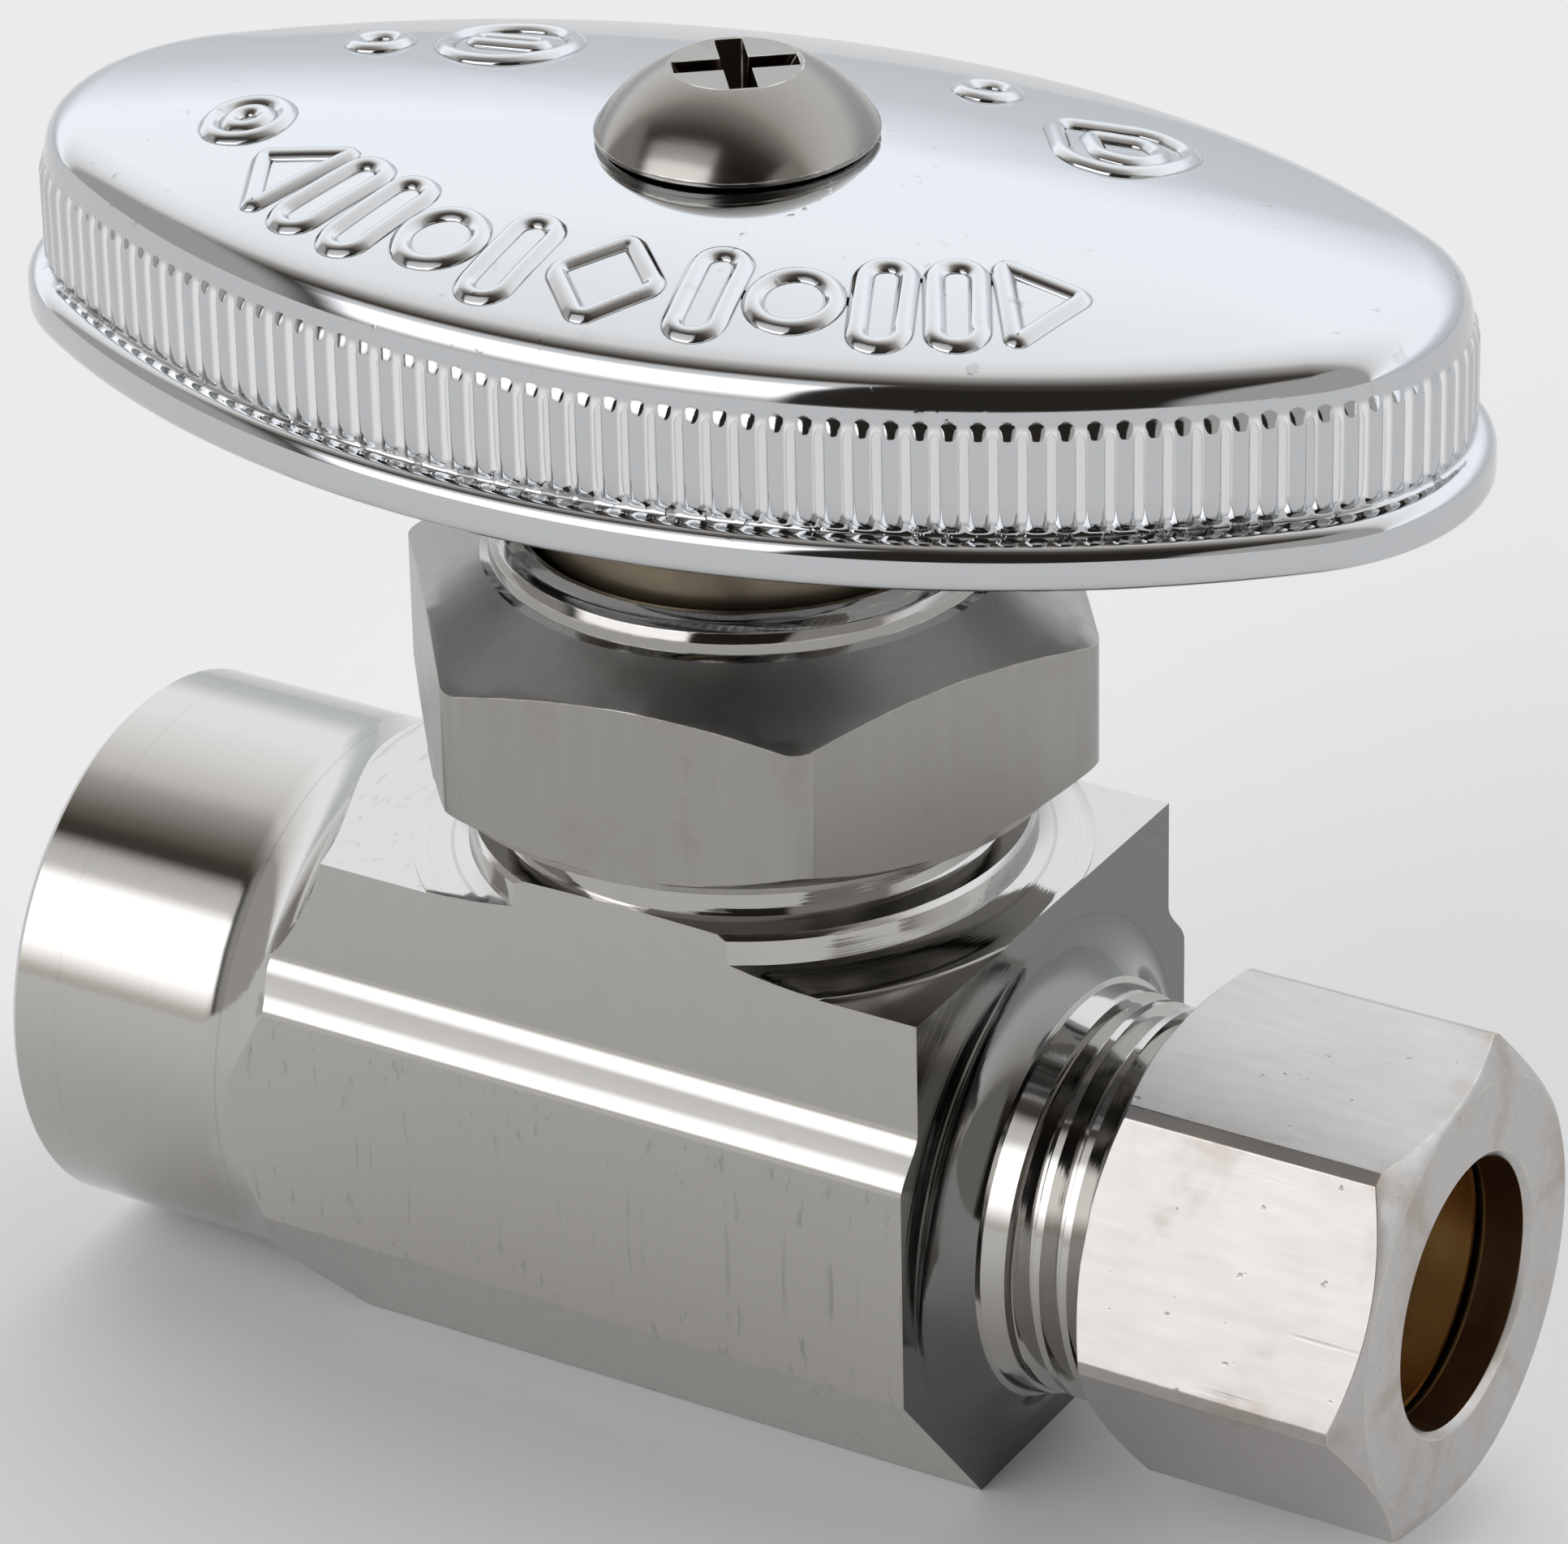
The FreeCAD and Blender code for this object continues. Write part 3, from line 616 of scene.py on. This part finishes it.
def build_handle_mesh(sizes):
    """Hollow oval cap: rim, ribbed band, crown, screw hole, broach, hub and underside."""
    bm = bmesh.new()
    ring, home, out, along = oval_ring(bm, sizes)
    rows = handle_profile()
    turned = Matrix.Rotation(sizes.turn, 3, "Z")

    def on_band(inset, height, share):
        def place(v):
            rib = min(1.0, 1.25 * abs(math.sin(math.pi * v[along]))) ** 1.3 * sizes.rib_depth * share
            spot = v[home] + v[out] * (rib - inset - sizes.rib_depth * share * 0.4)
            return turned @ Vector((spot.x, spot.y, height)) + STEM
        return place

    for v in bm.verts:
        v.co = on_band(*rows[0])(v)
    first = ring
    for row in rows[1:]:
        ring = grow(bm, ring, on_band(*row))
    edge_inset, edge_z, _ = rows[-1]
    top = HANDLE_HIGH.z - 0.09 * MM
    seat = 5.0 * MM
    round_from, round_to = 0.42, 0.19

    def on_crown(share):
        """Shrinks the outline over the crown and turns it into the screw's round seat near the middle."""
        def place(v):
            oval = (v[home] - v[out] * edge_inset) * share
            blend = max(0.0, (round_from - share) / (round_from - round_to))
            blend = blend * blend * (3 - 2 * blend)
            round_off = v[home].normalized() * seat
            spot = oval.lerp(round_off, blend)
            shrunk = spot.length / (v[home] - v[out] * edge_inset).length
            return turned @ Vector((spot.x, spot.y, crown_height(shrunk, top, edge_z))) + STEM
        return place

    for share in (0.985, 0.965, 0.94, 0.91, 0.87, 0.83, 0.78, 0.73, 0.68, 0.62, 0.56, 0.50, 0.45, 0.41,
                  0.37, 0.33, 0.29, 0.25, 0.22, round_to):
        ring = grow(bm, ring, on_crown(share))

    def on_circle(radius, height):
        def place(v):
            spot = v[home].normalized() * radius * MM
            return turned @ Vector((spot.x, spot.y, height)) + STEM
        return place

    hub = HANDLE_LOW.z
    for radius, height in ((4.3, top), (2.35, top), (2.3, top - 0.1 * MM), (2.3, hub + 9.1 * MM),
                           (4.28, hub + 9.1 * MM), (4.28, hub + 0.2 * MM), (4.4, hub), (5.6, hub),
                           (5.85, hub + 0.12 * MM), (5.95, hub + 0.4 * MM), (6.1, hub + 8.0 * MM),
                           (6.3, hub + 8.5 * MM), (6.8, hub + 8.85 * MM)):
        ring = grow(bm, ring, on_circle(radius, height))
    for inset, height in ((6.0, 5.25), (4.2, 5.0), (3.2, 4.7), (2.75, 4.2), (2.6, 3.6), (2.45, 0.6),
                          (2.3, 0.25), (1.9, 0.04)):
        ring = grow(bm, ring, on_band(inset * MM, RIM_LOW + height * MM, 0))
    bmesh.ops.bridge_loops(bm, edges=first + ring)
    bmesh.ops.remove_doubles(bm, verts=bm.verts, dist=0.0005 * MM)
    bmesh.ops.recalc_face_normals(bm, faces=bm.faces)
    for face in bm.faces:
        face.smooth = True
    for e in bm.edges:
        e.smooth = len(e.link_faces) < 2 or e.calc_face_angle() < math.radians(50)
    return bm


def rounded_outline(corners, rounding):
    """A flat closed outline in millimetres with rounded corners and short sides."""
    bm = bmesh.new()
    verts = [bm.verts.new((x, y, 0)) for x, y in corners]
    for one, two in zip(verts, verts[1:] + verts[:1]):
        bm.edges.new((one, two))
    bmesh.ops.bevel(bm, geom=verts, offset=rounding, offset_type="OFFSET", segments=6, profile=0.5,
                    affect="VERTICES", material=-1)
    return short_sides(bm)


def ring_outline(radius):
    """A flat circle in millimetres."""
    bm = bmesh.new()
    bmesh.ops.create_circle(bm, segments=28, radius=radius)
    return short_sides(bm)


def short_sides(bm):
    """Cuts long edges, so that an outline can follow the crown."""
    for e in list(bm.edges):
        cuts = int(e.calc_length() / 0.3)
        if cuts:
            bmesh.ops.subdivide_edges(bm, edges=[e], cuts=cuts)
    return bm


def raised_line(flat, place, surface, height, half_width):
    """A closed rounded bead along a flat outline, laid on the crown and sunk a little into it."""
    bmesh.ops.contextual_create(flat, geom=flat.edges[:])
    home = flat.verts.layers.float_vector.new("home")
    out = flat.verts.layers.float_vector.new("out")
    loops = flat.faces[0].loops
    for loop in loops:
        before, after = loop.link_loop_prev.vert.co, loop.link_loop_next.vert.co
        step = (after - before).normalized()
        loop.vert[home] = loop.vert.co
        loop.vert[out] = Vector((step.y, -step.x, 0))
    bmesh.ops.delete(flat, geom=flat.faces[:], context="FACES_ONLY")

    def at(offset, lift):
        def put(v):
            spot = place @ ((v[home] + v[out] * offset) * MM)
            top = surface.ray_cast(Vector((spot.x, spot.y, 1)), Vector((0, 0, -1)))[0]
            return Vector((spot.x, spot.y, top.z + lift))
        return put

    first = ring = flat.edges[:]
    width = half_width / MM
    sunk, root = -0.02 * MM, -0.25 * MM
    for v in flat.verts:
        v.co = at(-width, sunk)(v)
    for share in (-0.78, -0.5, -0.2, 0.2, 0.5, 0.78):
        ring = grow(flat, ring, at(share * width, height * (1 - share * share) ** 1.4))
    ring = grow(flat, ring, at(width, sunk))
    ring = grow(flat, ring, at(0, root))
    bmesh.ops.bridge_loops(flat, edges=first + ring)
    bmesh.ops.recalc_face_normals(flat, faces=flat.faces)
    for face in flat.faces:
        face.smooth = True


def crown_marks(sizes, surface):
    """Generic raised marks: a band along the front, a drop, a bar in a ring, small rings.

    Outlines are in millimetres; a mark without corners is a ring, whose radius stands in their place.
    """
    bar = [(-0.75, -2.1), (0.75, -2.1), (0.75, 2.1), (-0.75, 2.1)]
    point = [(-1.5, 0), (1.0, -2.1), (1.0, 2.1)]
    lozenge = [(-1.9, 0), (0, -2.1), (1.9, 0), (0, 2.1)]
    arm = [(-1.3, -0.35), (1.3, -0.35), (1.3, 0.35), (-1.3, 0.35)]
    drop = [(-2.6, 0.0), (0.2, -2.3), (2.4, -1.9), (3.0, 0.0), (2.4, 1.9), (0.2, 2.3)]
    core = [(-1.1, 0.0), (0.5, -1.1), (1.6, -0.8), (1.9, 0.0), (1.6, 0.8), (0.5, 1.1)]
    front = [(-30, point, 0.3), (-24.5, bar, 0.7), (-19.5, bar, 0.7), (-13.5, None, 1.35), (-7.5, bar, 0.7),
             (0, lozenge, 0.4), (7.5, bar, 0.7), (13.5, None, 1.35), (19.5, bar, 0.7), (24.5, bar, 0.7),
             (30, [(-x, y) for x, y in point], 0.3)]
    marks = []
    for degrees, corners, rounding in front:
        around = Matrix.Rotation(math.radians(degrees), 4, "Z")
        place = Matrix.Translation((0, 17.5, 0)) @ around @ Matrix.Translation((0, -27.6, 0))
        marks.append((corners, rounding, place))
    others = [(drop, 0.8, 11.2, 5.4, -20), (core, 0.4, 11.4, 5.3, -20), (None, 0.9, 5.6, 8.2, 0),
              (None, 2.3, -11.4, 5.6, 0), (arm, 0.34, -11.4, 5.6, 0), (None, 0.9, -15.9, 4.4, 0),
              (None, 1.35, -16.9, -3.4, 0), (None, 0.6, -16.9, -3.4, 0)]
    for corners, rounding, x, y, degrees in others:
        place = Matrix.Translation((x, y, 0)) @ Matrix.Rotation(math.radians(degrees), 4, "Z")
        marks.append((corners, rounding, place))
    turned = Matrix.Translation(STEM) @ Matrix.Rotation(sizes.turn, 4, "Z")
    whole = bmesh.new()
    for corners, rounding, place in marks:
        flat = rounded_outline(corners, rounding) if corners else ring_outline(rounding)
        bmesh.ops.transform(flat, matrix=place, verts=flat.verts)
        raised_line(flat, turned, surface, sizes.relief_height, 0.42 * MM)
        part = bpy.data.meshes.new("mark")
        flat.to_mesh(part)
        flat.free()
        whole.from_mesh(part)
        bpy.data.meshes.remove(part)
    return whole


# Operators


class VALVE_OT_handle(bpy.types.Operator):
    """Build the chromed oval handle and the raised marks on its crown"""

    bl_idname = "valve.handle"
    bl_label = "Handle"

    def execute(self, context):
        sizes = context.scene.valve_handle
        bm = build_handle_mesh(sizes)
        marks = crown_marks(sizes, BVHTree.FromBMesh(bm))
        plating = handle_chrome()
        piece_from(bm, "oval_handle", [plating], "spindle", "handle")
        piece_from(marks, "crown_marks", [plating], "spindle", None)
        return {"FINISHED"}


class VALVE_OT_body(bpy.types.Operator):
    """Build the valve body with softened edges and its different cut surfaces"""

    bl_idname = "valve.body"
    bl_label = "Body"

    def execute(self, context):
        def on_thread(e):
            mid = (e.verts[0].co + e.verts[1].co) / 2
            return mid.x > FLATS_END + 0.9 * MM or mid.z > BOSS_TOP

        bm = softened_copy("valve_body", 0.14 * MM, math.radians(24), on_thread, lay_front_step_again)
        plating = colours().body
        # The last finish is for the body's end face: its plating is darkened to 0.4 as painted shade, standing
        # in for the dark reflections of the outlet nut's back.
        finishes = [milled_chrome(), turned_chrome("turned_barrel", "X", Vector(), 0.006 * MM, plating),
                    turned_chrome("turned_boss", "Z", STEM, 0.014 * MM, plating),
                    turned_chrome("end_face_painted_shade", "X", Vector(), 0.01 * MM, darker(plating, 0.4))]
        piece = piece_from(bm, "body", finishes, "body", "valve_body")

        def choose(centre, normal):
            across = math.hypot(centre.y, centre.z)
            up = (centre - STEM).xy.length
            # the end face gets the darkened finish with its painted shade
            if FLATS_END - 0.01 * MM < centre.x < FLATS_END + 1.32 * MM:
                return 3
            if centre.x < TURNED_END or centre.x > FLATS_END - 0.01 * MM or across < INSIDE:
                return 1
            if centre.z > FLATS_TOP and up < BOSS_FOOT and abs(normal.y) < 0.999:
                return 2
            return 0

        paint_faces(piece, choose)
        even_shading(piece)
        return {"FINISHED"}


class VALVE_OT_bonnet(bpy.types.Operator):
    """Build the bonnet nut"""

    bl_idname = "valve.bonnet"
    bl_label = "Bonnet nut"

    def execute(self, context):
        bm = softened_copy("bonnet_nut", 0.16 * MM, math.radians(14))
        finishes = [satin_bonnet(), turned_chrome("turned_collar", "Z", STEM, 0.006 * MM, colours().bonnet)]
        piece = piece_from(bm, "bonnet_hexagon", finishes, "body", "bonnet_nut")

        def on_collar(centre, normal):
            return int(centre.z > 22.2 * MM and (centre - STEM).xy.length < 9.3 * MM)

        paint_faces(piece, on_collar)
        even_shading(piece)
        return {"FINISHED"}


class VALVE_OT_outlet_nut(bpy.types.Operator):
    """Build the outlet's compression nut"""

    bl_idname = "valve.outlet_nut"
    bl_label = "Outlet nut"

    def execute(self, context):
        bm = softened_copy("compression_nut", 0.14 * MM, math.radians(14))
        finishes = [stained_nickel(), turned_brass("nut_bore", "X", Vector(), (0.20, 0.115, 0.06))]
        piece = piece_from(bm, "outlet_hexagon", finishes, "outlet_nut", "compression_nut")

        def in_tube_hole(centre, normal):
            return int(math.hypot(centre.y, centre.z) < 4.92 * MM and abs(normal.x) < 0.3)

        paint_faces(piece, in_tube_hole)
        even_shading(piece)
        return {"FINISHED"}


class VALVE_OT_screw(bpy.types.Operator):
    """Build the truss-head handle screw"""

    bl_idname = "valve.screw"
    bl_label = "Handle screw"

    def execute(self, context):
        bm = softened_copy("handle_screw", 0.03 * MM, math.radians(24))
        # painted shade: the faces inside the recess get a dark brown colour in place of the screw's plating
        finishes = [dull_screw("dull_screw", colours().screw), dull_screw("recess_painted_shade", (0.15, 0.115, 0.085))]
        piece = piece_from(bm, "cross_screw", finishes, "spindle", "handle_screw")
        low = SCREW_HIGH.z - 2.0 * MM
        high = SCREW_HIGH.z - 0.1 * MM

        def in_recess(centre, normal):
            return int(low < centre.z < high and (centre - STEM).xy.length < 2.16 * MM)

        paint_faces(piece, in_recess)
        even_shading(piece)
        return {"FINISHED"}


class VALVE_OT_inside(bpy.types.Operator):
    """Finish the turned, moulded and pressed pieces inside the valve"""

    bl_idname = "valve.inside"
    bl_label = "Inside pieces"

    def execute(self, context):
        brass, aged = colours().brass, colours().aged_brass
        finishes = {"stem": turned_brass("stem_brass", "Z", STEM, aged),
                    "seat_washer_screw": turned_brass("small_screw_brass", "Z", STEM, brass),
                    "compression_ferrule": turned_brass("sleeve_brass", "X", Vector(), brass),
                    "stem_oring": moulded_rubber(), "seat_washer": moulded_rubber(),
                    "bonnet_gasket": pressed_fibre()}
        for node, material in finishes.items():
            for place in frame["nodes"][node].material_slots:
                place.material = material
        return {"FINISHED"}


class VALVE_OT_stage(bpy.types.Operator):
    """Set out the floor, the surroundings and the camera"""

    bl_idname = "valve.stage"
    bl_label = "Stage"

    def execute(self, context):
        studio = context.scene.valve_studio
        bm = bmesh.new()
        bmesh.ops.create_grid(bm, x_segments=4, y_segments=4, size=3.0)
        bmesh.ops.translate(bm, vec=(0, 0, BODY_LOW.z - 0.02 * MM), verts=bm.verts)
        mesh = bpy.data.meshes.new("floor")
        bm.to_mesh(mesh)
        bm.free()
        floor = bpy.data.objects.new("floor", mesh)
        context.scene.collection.objects.link(floor)
        finish = Finish(bpy.data.materials.new("paper"))
        finish.surface({"Base Color": colours().floor, "Roughness": 0.9, "Specular IOR Level": 0.1})
        mesh.materials.append(finish.owner)
        self.surroundings(context, studio)
        self.camera(context, studio)
        context.scene.view_settings.view_transform = "Standard"
        return {"FINISHED"}

    def surroundings(self, context, studio):
        """Bright ceiling and a white panel in front on the left, with darkness between and beside them."""
        world = bpy.data.worlds.new("studio")
        context.scene.world = world
        sky = Finish(world)
        way = sky.add("ShaderNodeTexCoord").out("Generated")
        parts = sky.add("ShaderNodeSeparateXYZ", {}, {0: way})
        lean = (parts.out("Y") * -1).angle_from(parts.out("Z")) / (2 * math.pi) + 0.5

        def ramp(rows):
            stops = [(degrees / 360 + 0.5, colour) for degrees, colour in rows]
            return sky.add("ShaderNodeValToRGB", {"stops": stops}, {0: lean}).out("Color")

        ceiling = ramp([(-120, (0.4, 0.42, 0.44)), (-90, (0.70, 0.74, 0.77)), (-76, (0.85, 0.89, 0.93)),
                        (-62, (1.38, 1.43, 1.49)), (-45, (1.42, 1.46, 1.51)), (-25, (1.25, 1.26, 1.28)),
                        (-9, (1.0, 0.98, 0.96)), (1, (0.57, 0.55, 0.53)), (14, (0.25, 0.225, 0.205)),
                        (22, (0.09, 0.075, 0.065)), (40, (0.03, 0.026, 0.022)), (88, (0.03, 0.026, 0.022)),
                        (95, (0.5, 0.48, 0.46))])
        panel = ramp([(27, (0, 0, 0)), (33, (0.75, 0.75, 0.76)), (42, (1.0, 1.0, 1.02)), (48, (2.4, 2.4, 2.45)),
                      (74, (2.5, 2.5, 2.55)), (86, (0.85, 0.82, 0.79)), (93, (0.4, 0.39, 0.37))])
        side = parts.out("X")
        lit = sky.between(side, -0.76, -0.66) * sky.between(side, 0.10, 0.05)
        ends = sky.between(side, 0.67, 0.73) + sky.between(side, -0.72, -0.84)
        light = sky.add("ShaderNodeVectorMath", {"operation": "MULTIPLY_ADD"},
                        {0: panel, 1: sky.grey(lit), 2: ceiling}).out()
        light = sky.add("ShaderNodeVectorMath", {"operation": "MAXIMUM"},
                        {0: light, 1: sky.tint((0.52, 0.51, 0.49), ends)}).out()
        shade = sky.add("ShaderNodeBackground", {}, {"Color": light, "Strength": studio.strength}).out()
        sky.add("ShaderNodeOutputWorld", {}, {"Surface": shade})

    def camera(self, context, studio):
        """Stands the camera where the studio's settings say, without blur."""
        a, e, r = studio.azimuth, studio.elevation, studio.roll
        right = Vector((math.cos(a), math.sin(a), 0))
        back = Vector((math.sin(a) * math.cos(e), -math.cos(a) * math.cos(e), math.sin(e)))
        up = back.cross(right)
        across = right * math.cos(r) + up * math.sin(r)
        upward = up * math.cos(r) - right * math.sin(r)
        data = bpy.data.cameras.new("view")
        data.lens = studio.lens
        data.sensor_width = 36
        data.clip_start, data.clip_end = 0.01, 20
        camera = bpy.data.objects.new("view", data)
        context.scene.collection.objects.link(camera)
        axes = Matrix((across, upward, back)).transposed().to_4x4()
        camera.matrix_world = Matrix.Translation(studio.place) @ axes
        context.scene.camera = camera


PIECES = (VALVE_OT_body, VALVE_OT_bonnet, VALVE_OT_handle, VALVE_OT_screw, VALVE_OT_outlet_nut, VALVE_OT_inside,
          VALVE_OT_stage)


class VALVE_PT_panel(bpy.types.Panel):
    """Lists the valve's sizes, colours and pieces"""

    bl_idname = "VALVE_PT_panel"
    bl_label = "Stop Valve"
    bl_space_type = "VIEW_3D"
    bl_region_type = "UI"
    bl_category = "Stop Valve"

    def draw(self, context):
        layout = self.layout
        for group in (context.scene.valve_handle, context.scene.valve_colours, context.scene.valve_studio):
            box = layout.box()
            for name in group.bl_rna.properties.keys():
                if name not in {"rna_type", "name"}:
                    box.prop(group, name)
        for piece in PIECES:
            layout.operator(piece.bl_idname)


CLASSES = (HandleSizes, PlatingColours, Studio) + PIECES + (VALVE_PT_panel,)


def register():
    for cls in CLASSES:
        bpy.utils.register_class(cls)
    bpy.types.Scene.valve_handle = PointerProperty(type=HandleSizes)
    bpy.types.Scene.valve_colours = PointerProperty(type=PlatingColours)
    bpy.types.Scene.valve_studio = PointerProperty(type=Studio)


def unregister():
    del bpy.types.Scene.valve_studio
    del bpy.types.Scene.valve_colours
    del bpy.types.Scene.valve_handle
    for cls in reversed(CLASSES):
        bpy.utils.unregister_class(cls)


def main():
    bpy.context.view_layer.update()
    register()
    bpy.ops.valve.body()
    bpy.ops.valve.bonnet()
    bpy.ops.valve.handle()
    bpy.ops.valve.screw()
    bpy.ops.valve.outlet_nut()
    bpy.ops.valve.inside()
    bpy.ops.valve.stage()


if __name__ == "__main__":
    main()
